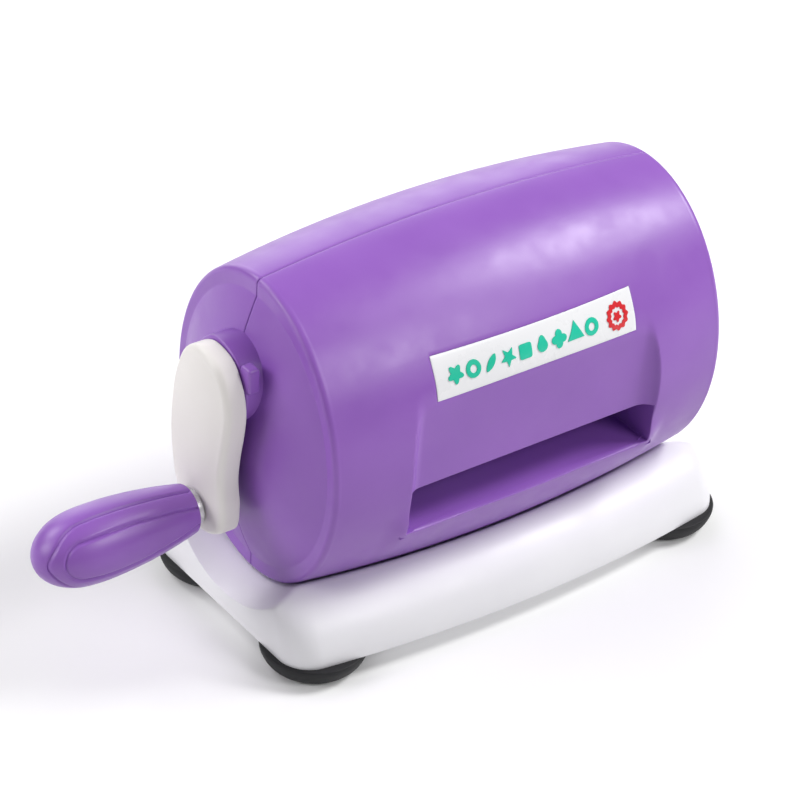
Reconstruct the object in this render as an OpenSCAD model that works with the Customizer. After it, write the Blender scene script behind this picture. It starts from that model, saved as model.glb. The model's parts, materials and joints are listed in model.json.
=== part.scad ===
// Hand-cranked mini die cutter. Card and a cutting die pass through the slot between two geared rollers.
// X runs along the rollers with the crank at -X, the feed slot faces -Y, and Z is up from the table.

/* [Body] */
// Width of the feed slot
slot_w = 112; // [100:1:136]
// Room at each end, past the slot, for the frame, the gears and the domed end
end_room = 44; // [43:0.5:54]
// Height of the barrel at its middle
body_h = 136.6; // [130:0.1:168]
// Depth of the barrel at its middle, front to back
body_d = 112.8; // [106:0.1:138]
// How far the barrel's middle stands out past its creased ends
barrel_bulge = 5.9; // [3:0.1:7]
// How far each domed end stands out past the crease
dome_h = 13.6; // [11:0.1:15]
// Wall of the body shells
shell_wall = 2.6; // [2.2:0.1:3.2]
// Height of the barrel's lowest point above the table
barrel_clear_z = 15.9; // [15:0.1:20]

/* [Slot and rollers] */
// Height of the feed slot's mouth
slot_h = 16.75; // [15:0.05:20]
// How far the middle of the nip lies below the barrel's axis
nip_drop = 21.7; // [18:0.1:24]
// Gap between the two rollers
nip_gap = 12; // [9:0.1:14.5]
// Diameter of each roller
roller_d = 24; // [20:0.1:28.8]
// Diameter of the roller shafts and of the crank shaft
shaft_d = 10; // [8:0.1:12]
// Thickness of the steel side plates
plate_t = 4; // [3:0.1:5]

/* [Gears] */
// Module of the crank pinion and of the drive gear
drive_module = 1.25; // [1.22:0.01:1.3]
// Teeth on the crank pinion
pinion_teeth = 14; // [14:1:15]
// Teeth on the drive gear
drive_teeth = 33; // [32:1:34]
// Teeth on each of the two gears that keep the rollers in step
sync_teeth = 24; // [20:2:30]
// Face width of every gear
gear_w = 9; // [7:0.1:9]

/* [Crank] */
// Distance from the crank shaft to the grip's spindle
crank_throw = 50.5; // [46:0.1:62]
// Thickness of the crank arm
arm_t = 10; // [8:0.1:12]
// Length of the grip
grip_l = 63.4; // [56:0.1:78]
// Largest diameter of the grip
grip_d = 28.4; // [24:0.1:34.2]
// Diameter of the grip's spindle
spindle_d = 8; // [6:0.1:10]

/* [Base] */
// How far the base's ends reach past the body's ends
base_reach = 0.6; // [0:0.1:6]
// How much shallower the base is at its corners than the barrel's middle, on each side
base_tuck = 6.2; // [4:0.1:10]
// How far the base's front and back bow out between its corners
base_bow = 7.1; // [4:0.1:14]
// Height of the base's bottom edge above the table
base_z = 8.5; // [7:0.1:10]
// Height of the base's shoulders above the table
base_top_z = 31; // [29:0.1:34]
// Wall of the base
base_wall = 2.8; // [2.4:0.1:3.2]
// Radius of each foot at its top
foot_r = 20.3; // [16:0.1:20.5]

/* [Hidden] */
$fn = 64;

purple = "#7d4fb0";
white_plastic = "#ecebf2";
arm_white = "#e6e2dc";
rubber_black = "#1d1e21";
steel = "#b9bcc2";
bronze = "#b08d57";
nylon = "#d9d4c4";

far = 400;                   // longer than the whole machine, for cutting blocks
fit = 0.1;                   // clearance between pieces that are assembled and stay still
run = 0.05;                  // radial running clearance of a shaft in its bore
seam = 0.2;                  // open seam between the two body shells

// Barrel
body_l = slot_w + 2 * end_room;
barrel_z = barrel_clear_z + body_h / 2;
crease_x = body_l / 2 - dome_h;
crease_r = body_h / 2 - barrel_bulge;
rim_x = crease_x + 1.9;      // the flat rim band, past the rounded crease
rim_w = 5.1;                 // width of that band
dome_r = crease_r - 2 - rim_w;
depth_ratio = body_d / body_h;
barrel_steps = 16;
dome_steps = 5;

// Slot and nip
nip_lift = 0.65 * max(0, roller_d - 24);   // room under larger rollers and their gears
nip_z = barrel_z - nip_drop + nip_lift;
slot_floor_z = nip_z - 6.65;
slot_top_z = slot_floor_z + slot_h;
tunnel_wall = 2;
tunnel_end_y = roller_d / 2 + 2;
panel_w = slot_w + 4;
panel_top_z = barrel_z + 27;
panel_y = body_d / 2 - 6.9;  // the flat above the slot
label_w = 90;
label_h = 15.5;
label_z = barrel_z + 32.2;
label_t = 0.8;

// Rollers and gears
roller_l = slot_w + 3;
lower_z = nip_z - (nip_gap + roller_d) / 2;
upper_z = nip_z + (nip_gap + roller_d) / 2;
crank_z = upper_z + drive_module * (pinion_teeth + drive_teeth) / 2;
sync_module = (roller_d + nip_gap) / sync_teeth;
shaft_r = shaft_d / 2;
hub_r = shaft_r + 3.5;
plate_x = roller_l / 2 + 2.5;           // inner face of each side plate
plate_out = plate_x + plate_t;
gear_x = plate_out + 4.5;               // inner face of every gear
gear_out = gear_x + gear_w;
bracket_x = gear_out + 2.5;             // inner face of the outer bracket
bracket_t = 3;
bush_wall = 2;
bush_flange = 1.2;
pin_r = 1;
clip_t = 1;

// Frame
rod_r = 3;
screw_r = 1.5;
low_rod = [rod_r + roller_d / 2, lower_z - 9.5];
high_rod = [21, crank_z - 10];
top_spacer = [18, crank_z + 13];
flange_z = low_rod[1] - rod_r - 5;
flange_t = 3;
flange_l = 14;
base_screw = [plate_x - 7, 12];

// Crank
collar_r = 16.3;
collar_x = body_l / 2 + 3;
arm_in = collar_x + 0.4;
arm_out = arm_in + arm_t;
arm_wall = 2.6;
crank_plate_t = 3;
arm_drop = crank_throw - 50.5;          // added length of the arm's lower half
spindle_z = crank_z - crank_throw;
grip_x = arm_out + 2.6;                 // root end of the grip
spindle_r = spindle_d / 2;
spindle_l = grip_x + grip_l - 8;        // from the arm's back to inside the grip's end

// Base and feet
base_l = body_l + 2 * base_reach;
base_end_d = body_d - 2 * base_tuck;
corner_r = 13;
base_gap = 0.6;                         // shadow gap between barrel and base
cover_t = 2;
foot_pos = [base_l / 2 - 17.8, base_end_d / 2 - 16];
foot_low_r = foot_r - 3.1;
cover_screw = [28, 34];
m4_r = 2;

// ---- outlines ----

// Catmull-Rom curve through the points of a closed outline
function catmull(a, b, c, d, t) =
    0.5 * ((2 * b) + (c - a) * t + (2 * a - 5 * b + 4 * c - d) * t * t
    + (3 * b - a - 3 * c + d) * t * t * t);
function smooth_loop(p, steps) = [
    for (i = [0 : len(p) - 1], s = [0 : steps - 1])
        let (n = len(p))
        catmull(p[(i + n - 1) % n], p[i], p[(i + 1) % n], p[(i + 2) % n], s / steps)
];

// Radius of the barrel, up and down, at a place along X
function barrel_radius(x) = body_h / 2 - barrel_bulge * pow(x / crease_x, 2);

// Half profile of the barrel and its domes as [radius, place along the axis], grown by g
function dome_profile(g) = [
    for (i = [0 : dome_steps])
        let (t = i / dome_steps)
        [dome_r * t, rim_x + g + (body_l / 2 - rim_x) * (1 - t * t)]
];
function half_profile(g) = concat(dome_profile(g), [[crease_r - 2 + g, rim_x + g]]);
function barrel_profile(g) = concat(
    half_profile(g),
    [for (i = [0 : barrel_steps])
        let (x = crease_x * (1 - 2 * i / barrel_steps))
        [barrel_radius(x) + g, x]],
    [for (i = [len(half_profile(g)) - 1 : -1 : 0]) [half_profile(g)[i][0], -half_profile(g)[i][1]]]
);

// The same barrel with mouths that flare out past the creases, for the base's cradle
flare_x = body_l / 2 - 2;
flare_r = crease_r + 5.6;
function cradle_profile(g) = concat(
    [[0, far / 2], [flare_r + 20 + g, far / 2], [flare_r + 1.5 + g, flare_x + 3], [flare_r + g, flare_x]],
    [for (i = [0 : barrel_steps])
        let (x = crease_x * (1 - 2 * i / barrel_steps))
        [barrel_radius(x) + g, x]],
    [[flare_r + g, -flare_x], [flare_r + 1.5 + g, -flare_x - 3], [flare_r + 20 + g, -far / 2], [0, -far / 2]]
);

// Plan of the base: straight ends, round corners, bowed front and back
function base_quarter(a, b, r) =
    let (lean = atan(2 * base_bow / (a - r)), end_x = a - r + r * sin(lean))
    concat(
        [for (i = [0 : 6]) let (t = (90 - lean) * i / 6) [a - r + r * cos(t), b - r * cos(lean) + r * sin(t)]],
        [for (i = [1 : 5]) let (x = end_x * (1 - i / 5)) [x, b + base_bow * (1 - pow(x / end_x, 2))]]
    );
function mirror_back(p) = [for (i = [len(p) - 1 : -1 : 0]) p[i]];
function base_plan(in_x, in_y) =
    let (q = base_quarter(base_l / 2 - in_x, base_end_d / 2 - in_y, corner_r))
    concat(
        q,
        [for (p = mirror_back(q)) if (p[0] > 0.01) [-p[0], p[1]]],
        [for (p = q) [-p[0], -p[1]]],
        [for (p = mirror_back(q)) if (p[0] > 0.01) [p[0], -p[1]]]
    );

// Involute gear outline: half the angle of a tooth at radius r, then the whole loop
backlash = 0.5;
pressure = 20;
function inv_deg(a) = tan(a) * 180 / PI - a;
function tooth_half(teeth, m, r) =
    let (rp = m * teeth / 2, rb = rp * cos(pressure))
    90 / teeth - backlash / 2 / rp * 180 / PI + inv_deg(pressure) - inv_deg(acos(min(1, rb / max(r, rb))));
function gear_outline(teeth, m, phase) =
    let (
        rp = m * teeth / 2,
        root = rp - 1.25 * m,
        low = max(rp * cos(pressure), root + 0.1),
        tip = rp + 0.8 * m,
        flank = [root, low, rp, tip]
    )
    [for (k = [0 : teeth - 1], side = [-1, 1], i = [0 : 3])
        let (r = flank[side < 0 ? i : 3 - i], a = phase + 360 * k / teeth + side * tooth_half(teeth, m, r))
        [r * sin(a), r * cos(a)]];

// Outline of the crank arm seen from outside, as [y, height above the crank shaft]
arm_points = [
    [0, 15.4], [-9.5, 13], [-15.6, 5], [-17.9, -4], [-16.9, -14], [-14.9, -24],
    [-13.7, -34.5 - arm_drop], [-14.9, -46 - arm_drop], [-12.6, -56.5 - arm_drop], [-1, -61.6 - arm_drop],
    [10.6, -56 - arm_drop], [16.4, -48 - arm_drop], [19.1, -36 - arm_drop],
    [19.9, -26], [19.3, -15], [17.2, -3], [12.6, 8.5], [6.8, 13.6],
];

// ---- helpers ----

module along_x(x0, x1, y, z, r) translate([x0, y, z]) rotate([0, 90, 0]) cylinder(h = x1 - x0, r = r);
module along_y(y0, y1, x, z, r) translate([x, y1, z]) rotate([90, 0, 0]) cylinder(h = y1 - y0, r = r);
module along_z(z0, z1, x, y, r) translate([x, y, z0]) cylinder(h = z1 - z0, r = r);
module block(low, high) translate(low) cube(high - low);

// An outline given as [y, z], made into a plate from x0 to x1
module plate_yz(points, x0, x1)
    translate([x0, 0, 0]) rotate([90, 0, 90]) linear_extrude(x1 - x0) polygon(points);

module revolved(profile)
    translate([0, 0, barrel_z]) scale([1, depth_ratio, 1]) rotate([0, 90, 0])
        rotate_extrude($fn = 144) polygon(profile);
module barrel(g = 0) revolved(barrel_profile(g));
module cradle(g = 0) revolved(cradle_profile(g));

module ring_x(x0, x1, z, outer, inner) difference() {
    along_x(x0, x1, 0, z, outer);
    along_x(x0 - 1, x1 + 1, 0, z, inner);
}

// ---- body shells ----

shell_screw_at = [
    [-slot_w / 2 + 6, barrel_z + 45.8], [slot_w / 2 - 6, barrel_z + 45.8],
    [-crease_x + 6.2, lower_z - 4.5], [crease_x - 6.2, upper_z + 27.5],
];
screw_seat_y = 10;

// The facet above the slot, cut into the barrel to the depth of a wall or less
module panel_cut(wall) block(
    [-panel_w / 2 - wall, -far, slot_floor_z - wall],
    [panel_w / 2 + wall, -panel_y + wall, panel_top_z + wall]
);

// One half of the body, modelled as the front and mirrored for the back
module body_half(boss_r) difference() {
    intersection() {
        barrel();
        block([-far, -far, -far], [far, -seam / 2, far]);
    }
    panel_cut(0);
    difference() {
        barrel(-shell_wall);
        panel_cut(shell_wall);
        block(
            [-slot_w / 2 - tunnel_wall, -far, slot_floor_z - tunnel_wall],
            [slot_w / 2 + tunnel_wall, -tunnel_end_y, slot_top_z + tunnel_wall]
        );
        for (p = shell_screw_at) along_y(-far, 1, p[0], p[1], boss_r);
        for (x = [-1, 1]) along_z(0, flange_z, x * base_screw[0], -base_screw[1], 5);
    }
    block([-slot_w / 2, -far, slot_floor_z], [slot_w / 2, 0, slot_top_z]);
    for (x = [-1, 1]) along_z(-1, flange_z + 1, x * base_screw[0], -base_screw[1], m4_r + fit);
    along_x(-far / 2, -crease_x + 4, 0, crank_z, collar_r + fit);
}

module label_region(extra) block(
    [-label_w / 2 - extra, -far, label_z - label_h / 2 - extra],
    [label_w / 2 + extra, 0, label_z + label_h / 2 + extra]
);

module front_shell() color(purple) difference() {
    body_half(4);
    difference() {
        label_region(0.3);
        barrel(-label_t);
    }
    for (p = shell_screw_at) along_y(-screw_seat_y - 4, 1, p[0], p[1], screw_r + run);
}

module rear_shell() color(purple) difference() {
    mirror([0, 1, 0]) body_half(5);
    for (p = shell_screw_at) {
        along_y(-1, far, p[0], p[1], screw_r + fit);
        along_y(screw_seat_y, far, p[0], p[1], 3.4);
    }
}

module label_plate() color(white_plastic) intersection() {
    difference() {
        barrel(0.1);
        barrel(-label_t + 0.05);
    }
    label_region(0);
}

module axle_collar() color(purple) difference() {
    union() {
        along_x(-collar_x, -bracket_x - bracket_t, 0, crank_z, collar_r);
        block([-collar_x + 0.6, -collar_r - 1.4, crank_z + 2], [-collar_x + 5, -collar_r + 4.4, crank_z + 11]);
    }
    along_x(-collar_x - 1, -collar_x + 6, 0, crank_z, collar_r - 3.4);
    along_x(-far / 2, 0, 0, crank_z, collar_r - 6);
}

// ---- base and feet ----

// Heights of the base's levels as shares of its rise, with how far the ends and sides draw in
base_levels = [[0, 0, 0], [0.4, 0.6, 4], [0.7, 1.6, 9.5], [0.9, 3.4, 15], [1, 6, 19]];

module base_form(wall) hull() for (level = base_levels) {
    z = base_z + level[0] * (base_top_z - base_z) - (level[0] == 0 ? 1 : level[0]) * wall;
    translate([0, 0, z]) linear_extrude(0.01) polygon(base_plan(level[1] + wall, level[2] + wall));
}

foot_at = [for (x = [-1, 1], y = [-1, 1]) [x * foot_pos[0], y * foot_pos[1]]];
base_screw_at = [for (x = [-1, 1], y = [-1, 1]) [x * base_screw[0], y * base_screw[1]]];
cover_screw_at = [for (x = [-1, 1], y = [-1, 1]) [x * cover_screw[0], y * cover_screw[1]]];
post_z = base_z + cover_t + fit;

module base() color(white_plastic) difference() {
    base_form(0);
    difference() {
        base_form(base_wall);
        cradle(base_gap + base_wall);
        for (p = base_screw_at) along_z(post_z, far / 8, p[0], p[1], 6);
        for (p = foot_at) along_z(post_z, far / 8, p[0], p[1], 5);
        for (p = cover_screw_at) along_z(post_z, far / 8, p[0], p[1], 3.6);
    }
    linear_extrude(post_z) polygon(base_plan(base_wall, base_wall));
    cradle(base_gap);
    for (p = base_screw_at) along_z(0, far / 8, p[0], p[1], m4_r + fit);
    for (p = foot_at) along_z(0, post_z + 6, p[0], p[1], m4_r + run);
    for (p = cover_screw_at) along_z(0, post_z + 6, p[0], p[1], screw_r + run);
}

module base_cover() color(white_plastic) difference() {
    translate([0, 0, base_z]) linear_extrude(cover_t)
        polygon(base_plan(base_wall + 0.3, base_wall + 0.3));
    for (p = base_screw_at) along_z(0, far / 8, p[0], p[1], 4.4);
    for (p = foot_at) along_z(0, far / 8, p[0], p[1], m4_r + fit);
    for (p = cover_screw_at) along_z(0, far / 8, p[0], p[1], screw_r + fit);
}

module foot(x, y) color(rubber_black) translate([foot_pos[0] * x, foot_pos[1] * y, 0])
    rotate_extrude($fn = 96) polygon([
        [m4_r + fit, 4], [5.2, 4], [5.2, 0], [foot_low_r - 2.4, 0], [foot_low_r - 0.8, 0.5],
        [foot_low_r, 1.8], [foot_r - 0.6, base_z - 1.4], [foot_r, base_z - 0.6], [foot_r, base_z],
        [m4_r + fit, base_z],
    ]);

// ---- frame ----

module frame_outline_holes(bores, screws, x0, x1) {
    for (z = bores) along_x(x0 - 1, x1 + 1, 0, z, shaft_r + run + bush_wall);
    for (p = screws, side = [-1, 1]) along_x(x0 - 1, x1 + 1, side * p[0], p[1], screw_r + fit);
}

module base_flange(x0, x1) difference() {
    block([min(x0, x1), -18, flange_z], [max(x0, x1), 18, flange_z + flange_t]);
    for (y = [-1, 1]) along_z(flange_z - 1, flange_z + 5, (x0 + x1) / 2, y * base_screw[1], m4_r + run);
}

module side_plate(top_half_w, top_z, bores, screws, x0, x1) difference() {
    plate_yz([
        [-18, flange_z], [18, flange_z], [26, flange_z + 14], [26, crank_z - 4],
        [top_half_w, top_z], [-top_half_w, top_z], [-26, crank_z - 4], [-26, flange_z + 14],
    ], x0, x1);
    frame_outline_holes(bores, screws, x0, x1);
}

module left_frame_plate() color(steel) {
    side_plate(22, crank_z + 18, [lower_z, upper_z, crank_z], [low_rod, high_rod, top_spacer],
        -plate_out, -plate_x);
    base_flange(-plate_x, -plate_x + flange_l);
}

module right_frame_plate() color(steel) {
    side_plate(26, crank_z - 3, [lower_z, upper_z], [low_rod, high_rod], plate_x, plate_out);
    base_flange(plate_x, plate_x - flange_l);
}

module outer_bracket() color(steel) difference() {
    plate_yz([
        [-26, crank_z - 16], [26, crank_z - 16], [26, crank_z - 4], [21, crank_z + 18],
        [-21, crank_z + 18], [-26, crank_z - 4],
    ], -bracket_x - bracket_t, -bracket_x);
    frame_outline_holes([crank_z], [high_rod, top_spacer], -bracket_x - bracket_t, -bracket_x);
}

module tube_x(x0, x1, p, outer, inner) for (side = [-1, 1]) difference() {
    along_x(x0, x1, side * p[0], p[1], outer);
    along_x(x0 - 1, x1 + 1, side * p[0], p[1], inner);
}

module bracket_spacers() color(steel)
    for (p = [high_rod, top_spacer]) tube_x(-bracket_x, -plate_out, p, rod_r + 0.5, screw_r + fit);

tap_depth = 12;
module tie_rods() color(steel) for (p = [low_rod, high_rod], side = [-1, 1]) difference() {
    along_x(-plate_x, plate_x, side * p[0], p[1], rod_r);
    for (end = [-1, 1])
        along_x(end * plate_x - tap_depth, end * plate_x + tap_depth, side * p[0], p[1], screw_r + run);
}

// A flanged bush from the plate's outer face to its inner face, with its flange inside
module bush(outer_x, inner_x, z) {
    dir = sign(inner_x - outer_x);
    lo = min(outer_x, inner_x);
    hi = max(outer_x, inner_x);
    flange_end = inner_x + dir * bush_flange;
    difference() {
        union() {
            along_x(lo, hi, 0, z, shaft_r + run + bush_wall);
            along_x(min(inner_x, flange_end), max(inner_x, flange_end), 0, z, shaft_r + run + bush_wall + 2);
        }
        along_x(lo - 3, hi + 3, 0, z, shaft_r + run);
    }
}

module crank_bushes() color(bronze) {
    bush(-bracket_x - bracket_t, -bracket_x, crank_z);
    bush(-plate_out, -plate_x, crank_z);
}

module roller_bushes() color(bronze) for (side = [-1, 1], z = [lower_z, upper_z])
    bush(side * plate_out, side * plate_x, z);

// ---- fasteners ----

// A pan-head screw along X whose head rests at x0 and whose shank runs to x1
module screw_x(x0, x1, y, z, r, head_r, head_t) {
    along_x(min(x0, x1), max(x0, x1), y, z, r);
    along_x(x1 > x0 ? x0 - head_t : x0, x1 > x0 ? x0 : x0 + head_t, y, z, head_r);
}
module screw_z(z0, z1, p, r, head_r, head_t) {
    along_z(z0, z1, p[0], p[1], r);
    along_z(z0 - head_t, z0, p[0], p[1], head_r);
}

module frame_screws() color(steel) for (side = [-1, 1]) {
    for (p = [low_rod, high_rod]) screw_x(plate_out, plate_x - 10, side * p[0], p[1], screw_r, 3, 2.4);
    screw_x(-plate_out, -plate_x + 10, side * low_rod[0], low_rod[1], screw_r, 3, 2.4);
    screw_x(-bracket_x - bracket_t, -plate_x + 10, side * high_rod[0], high_rod[1], screw_r, 3, 2.4);
    screw_x(-bracket_x - bracket_t, -plate_x - 0.5, side * top_spacer[0], top_spacer[1], screw_r, 3, 2.4);
}

module shell_screws() color(steel) for (p = shell_screw_at) {
    along_y(-screw_seat_y - 2, screw_seat_y, p[0], p[1], screw_r);
    along_y(screw_seat_y, screw_seat_y + 2.2, p[0], p[1], 3);
}

module base_screws() color(steel)
    for (p = base_screw_at) screw_z(post_z, flange_z + flange_t + 0.6, p, m4_r, 3.8, 1.9);

module foot_screws() color(steel) for (p = foot_at) screw_z(4, post_z + 5, p, m4_r, 4, 2.4);

module cover_screws() color(steel) for (p = cover_screw_at) screw_z(base_z, post_z + 5, p, screw_r, 3, 1.8);

// ---- rollers and gears ----

hub_end = plate_out + 0.4;
pin_at = (hub_end + gear_x) / 2;
sync_w = gear_w - 1;

module shaft(x0, x1, z, pins) difference() {
    along_x(x0, x1, 0, z, shaft_r);
    for (x = pins) along_z(z - hub_r, z + hub_r, x, 0, pin_r);
}

module right_gear(z, teeth, m, phase, w) difference() {
    union() {
        translate([0, 0, z]) plate_yz(gear_outline(teeth, m, phase), gear_x, gear_x + w);
        along_x(hub_end, gear_x - 0.6, 0, z, hub_r);
        along_x(hub_end, gear_x + 0.5, 0, z, min(hub_r, m * (teeth / 2 - 1.25) - 0.2));
    }
    along_x(0, far / 2, 0, z, shaft_r);
    gear_pin(pin_at, z);
}
module left_gear(z, teeth, m, phase) mirror([1, 0, 0]) right_gear(z, teeth, m, phase, gear_w);

module gear_pin(x, z) along_z(z - hub_r, z + hub_r, x, 0, pin_r);
module clip(x0, z) ring_x(x0, x0 + clip_t, z, shaft_r + 2.2, shaft_r);

module roller(z) ring_x(-roller_l / 2, roller_l / 2, z, roller_d / 2, shaft_r);

upper_left_x = -gear_out - clip_t - 0.8;
upper_right_x = gear_x + sync_w + clip_t + 0.8;

module upper_roller() color(steel) roller(upper_z);
module upper_shaft() color(steel) shaft(upper_left_x, upper_right_x, upper_z, [-pin_at, pin_at]);
module drive_gear() color(nylon) left_gear(upper_z, drive_teeth, drive_module, 0);
module upper_sync_gear() color(nylon) right_gear(upper_z, sync_teeth, sync_module, 0, sync_w);
module upper_gear_pins() color(steel) for (x = [-pin_at, pin_at]) gear_pin(x, upper_z);
module upper_clips() color(steel) {
    clip(-gear_out - clip_t, upper_z);
    clip(gear_x + sync_w, upper_z);
}

module lower_roller() color(steel) roller(lower_z);
module lower_shaft() color(steel) shaft(-plate_out - clip_t - 1, upper_right_x, lower_z, [pin_at]);
module lower_sync_gear() color(nylon)
    right_gear(lower_z, sync_teeth, sync_module, 180 / sync_teeth * (sync_teeth % 2 == 0 ? 1 : 0), sync_w);
module lower_gear_pin() color(steel) gear_pin(pin_at, lower_z);
module lower_clips() color(steel) {
    clip(-plate_out - clip_t - 0.2, lower_z);
    clip(gear_x + sync_w, lower_z);
}

// ---- crank ----

arm_outline = [for (p = smooth_loop(arm_points, 4)) [p[0], p[1] + crank_z]];
inner_outline = [for (p = smooth_loop(arm_points, 4))
    [p[0] * (1 - arm_wall / 18), (p[1] + 23) * (1 - arm_wall / 38) - 23 + crank_z]];
cover_screw_z = [crank_z - 14, crank_z - 33];

module crank_shaft() color(steel) shaft(-arm_in - crank_plate_t, -plate_x + 4, crank_z, [-pin_at]);
module crank_pinion() color(steel) left_gear(crank_z, pinion_teeth, drive_module,
    pinion_teeth % 2 == 0 ? 180 / pinion_teeth : 0);
module pinion_pin() color(steel) gear_pin(-pin_at, crank_z);
module crank_clip() color(steel) clip(-plate_x + bush_flange + 0.2, crank_z);
module crank_washer() color(steel) ring_x(-arm_in, -arm_in + 2.4, crank_z, collar_r - 4.4, shaft_r);

module crank_plate() color(steel) difference() {
    plate_yz([for (p = inner_outline) [p[0] * 0.97, (p[1] - crank_z + 23) * 0.985 - 23 + crank_z]],
        -arm_in - crank_plate_t, -arm_in);
    along_x(-arm_out, 0, 0, crank_z, shaft_r);
    along_x(-far / 2, 0, 0, spindle_z, spindle_r);
    for (z = cover_screw_z) along_x(-arm_out, 0, 0, z, screw_r + fit);
}

module crank_cover() color(arm_white) difference() {
    plate_yz(arm_outline, -arm_out, -arm_in);
    difference() {
        plate_yz(inner_outline, -arm_out + arm_wall, -arm_in + 1);
        for (z = cover_screw_z) along_x(-arm_out, -arm_in - crank_plate_t, 0, z, 4);
        along_x(-arm_out, -arm_in - crank_plate_t, 0, spindle_z, spindle_r + 3);
    }
    for (z = cover_screw_z) along_x(-arm_out + arm_wall, 0, 0, z, screw_r + run);
    along_x(-far / 2, 0, 0, spindle_z, spindle_r + fit);
}

module crank_cover_screws() color(steel)
    for (z = cover_screw_z) along_x(-arm_in - crank_plate_t - 3, -arm_in, 0, z, screw_r);

module grip_spindle() color(steel) along_x(-spindle_l, -arm_in, 0, spindle_z, spindle_r);
module spindle_collar() color(steel)
    ring_x(-grip_x + 0.2, -arm_out, spindle_z, spindle_r + 3, spindle_r);
module spindle_clip() color(steel)
    ring_x(-spindle_l + 1.5, -spindle_l + 2.5, spindle_z, spindle_r + 0.6, spindle_r);

// Radius of the grip at a distance from its root: it swells, then closes in a blunt round end
grip_swell_at = grip_l * 0.62;
root_share = 0.655;
function grip_radius(s) = grip_d / 2 * (s < grip_swell_at
    ? 1 - (1 - root_share) * pow(1 - s / grip_swell_at, 1.9)
    : pow(max(0, 1 - pow((s - grip_swell_at) / (grip_l - grip_swell_at), 2.4)), 0.5));
grip_steps = 12;
end_steps = 10;
grip_profile = concat(
    [[0, 0], [grip_radius(0) - 1, 0]],
    [for (i = [0 : grip_steps]) let (s = 1 + (grip_swell_at - 1) * i / grip_steps) [grip_radius(s), s]],
    [for (i = [1 : end_steps])
        let (s = grip_swell_at + (grip_l - grip_swell_at) * sin(90 * i / end_steps))
        [i == end_steps ? 0 : grip_radius(s), s]]
);
pocket_r = spindle_r + 1.2;

module grip() color(purple) difference() {
    translate([-grip_x, 0, spindle_z]) rotate([0, -90, 0]) rotate_extrude($fn = 96) polygon(grip_profile);
    along_x(-spindle_l - 1, 0, 0, spindle_z, spindle_r + run);
    along_x(-spindle_l - 1, -spindle_l + 3.5, 0, spindle_z, pocket_r);
}

front_shell();
rear_shell();
label_plate();
axle_collar();
base();
base_cover();
foot(-1, -1);  // foot_front_left
foot(1, -1);  // foot_front_right
foot(-1, 1);  // foot_rear_left
foot(1, 1);  // foot_rear_right
left_frame_plate();
right_frame_plate();
outer_bracket();
bracket_spacers();
tie_rods();
crank_bushes();
roller_bushes();
frame_screws();
shell_screws();
base_screws();
foot_screws();
cover_screws();
upper_roller();
upper_shaft();
drive_gear();
upper_sync_gear();
upper_gear_pins();
upper_clips();
lower_roller();
lower_shaft();
lower_sync_gear();
lower_gear_pin();
lower_clips();
crank_shaft();
crank_pinion();
pinion_pin();
crank_clip();
crank_washer();
crank_plate();
crank_cover();
crank_cover_screws();
grip_spindle();
spindle_collar();
spindle_clip();
grip();
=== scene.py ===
# %% [markdown]
# # A hand-cranked die cutter
# The real machine is a barrel of two purple plastic shells on a white base. A crank arm turns two steel
# rollers inside, and a stack of cutting plates goes in at the slot. The CAD frame already holds every
# piece as a solid. This notebook keeps that frame and gives the visible pieces their real surfaces.

# %% Load the frame
import json
import bmesh
import bpy
import numpy as np
from mathutils import Matrix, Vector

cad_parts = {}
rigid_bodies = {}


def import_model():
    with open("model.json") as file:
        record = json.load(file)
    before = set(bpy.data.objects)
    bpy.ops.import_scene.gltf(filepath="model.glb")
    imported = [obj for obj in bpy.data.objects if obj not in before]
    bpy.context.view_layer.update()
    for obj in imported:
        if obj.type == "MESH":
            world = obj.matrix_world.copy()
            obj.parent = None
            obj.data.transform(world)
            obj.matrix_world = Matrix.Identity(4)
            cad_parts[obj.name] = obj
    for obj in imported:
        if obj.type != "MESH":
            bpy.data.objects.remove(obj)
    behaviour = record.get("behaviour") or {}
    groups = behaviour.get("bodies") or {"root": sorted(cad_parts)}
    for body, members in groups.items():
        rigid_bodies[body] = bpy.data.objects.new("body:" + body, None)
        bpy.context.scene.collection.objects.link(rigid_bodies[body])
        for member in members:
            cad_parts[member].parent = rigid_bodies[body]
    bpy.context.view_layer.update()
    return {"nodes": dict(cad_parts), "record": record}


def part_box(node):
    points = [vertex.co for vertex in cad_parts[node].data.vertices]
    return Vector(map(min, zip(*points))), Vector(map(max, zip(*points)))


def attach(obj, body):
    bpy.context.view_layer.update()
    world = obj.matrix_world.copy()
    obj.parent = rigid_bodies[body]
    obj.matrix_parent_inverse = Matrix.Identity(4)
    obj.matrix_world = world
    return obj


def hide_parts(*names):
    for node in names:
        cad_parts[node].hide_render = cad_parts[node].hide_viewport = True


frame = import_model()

nodes = frame["nodes"]

# %% [markdown]
# Blender works in metres, but a moulded part is easier to think about in millimetres. So every surface
# below is worked out in millimetres, and one helper turns it into a mesh in metres.

# %% Helpers for meshes
MM = 0.001


def corners(node):
    """Lowest and highest corner of a CAD node, in millimetres."""
    low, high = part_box(node)
    return np.array(low) / MM, np.array(high) / MM


def sheet_faces(rows, cols, loop_rows=False, loop_cols=False):
    """Quads of a grid whose point (i, j) has index i * cols + j. Fronts look along row step x column step."""
    i, j = np.meshgrid(np.arange(rows - (not loop_rows)), np.arange(cols - (not loop_cols)), indexing="ij")
    i, j = i.ravel(), j.ravel()
    i1, j1 = (i + 1) % rows, (j + 1) % cols
    return np.stack([i * cols + j, i1 * cols + j, i1 * cols + j1, i * cols + j1], -1)


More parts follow.
